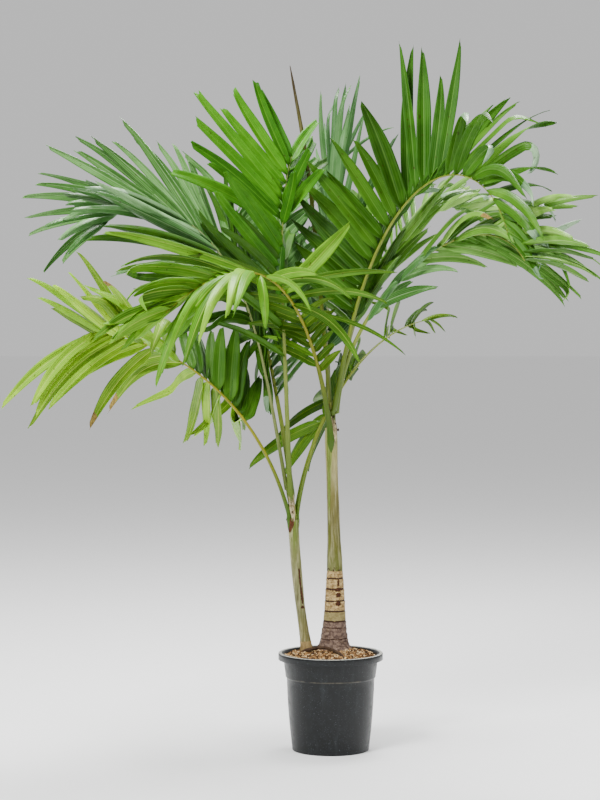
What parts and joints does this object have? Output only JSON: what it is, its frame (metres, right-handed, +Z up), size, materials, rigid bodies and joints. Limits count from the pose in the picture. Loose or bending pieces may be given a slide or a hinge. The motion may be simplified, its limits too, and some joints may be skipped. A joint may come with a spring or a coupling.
{
  "type": "potted christmas palm",
  "caption": "small feather palm with a thick and a thin stem in a round nursery pot, leaves arching out to all sides",
  "frame": {"origin": "centre of the flat underside of the pot", "axes": "+Z up along the stems, -Y towards the side that the picture shows, +X to the right in it"},
  "size_m": [1.5893, 1.7604, 1.8422],
  "materials": {
    "pot_plastic": "moulded satin black polypropylene, dusty",
    "potting_bark": "loose chips of composted bark",
    "ringed_stem": "ringed palm stem, matt",
    "green_sheath": "smooth waxy leaf sheath",
    "stalk": "smooth waxy leaf stalk",
    "root_bark": "woody root, matt",
    "leaf_deep": "thin glossy palm leaflets",
    "leaf_yellow": "thin glossy palm leaflets",
    "leaf_bright": "thin glossy palm leaflets",
    "leaf_cool": "thin glossy palm leaflets",
    "leaf_fresh": "thin glossy palm leaflets"
  },
  "bodies": {
    "root": {"pot": "pot_plastic", "soil": "potting_bark", "main_stem": "ringed_stem", "main_sheath": "green_sheath", "main_bud": "green_sheath", "thin_stem": "ringed_stem", "thin_sheath": "green_sheath", "thin_bud": "green_sheath", "spear": "stalk", "root_loop": "root_bark", "frond_tall_right_stalk": "stalk", "frond_front_left_stalk": "stalk", "frond_upright_stalk": "stalk", "frond_low_left_stalk": "stalk", "frond_far_left_stalk": "stalk", "frond_far_right_stalk": "stalk", "frond_back_upright_stalk": "stalk", "frond_back_right_stalk": "stalk", "frond_back_centre_stalk": "stalk", "frond_low_back_stalk": "stalk", "frond_tall_right_inner": "leaf_deep", "frond_tall_right_outer": "leaf_deep", "frond_front_left_inner": "leaf_yellow", "frond_front_left_outer": "leaf_yellow", "frond_upright_blade": "leaf_bright", "frond_low_left_inner": "leaf_yellow", "frond_low_left_outer": "leaf_yellow", "frond_far_left_inner": "leaf_cool", "frond_far_left_outer": "leaf_cool", "frond_far_right_inner": "leaf_fresh", "frond_far_right_outer": "leaf_fresh", "frond_back_upright_blade": "leaf_cool", "frond_back_right_blade": "leaf_cool", "frond_back_centre_blade": "leaf_deep", "frond_low_back_blade": "leaf_deep"}
  },
  "joints": []
}
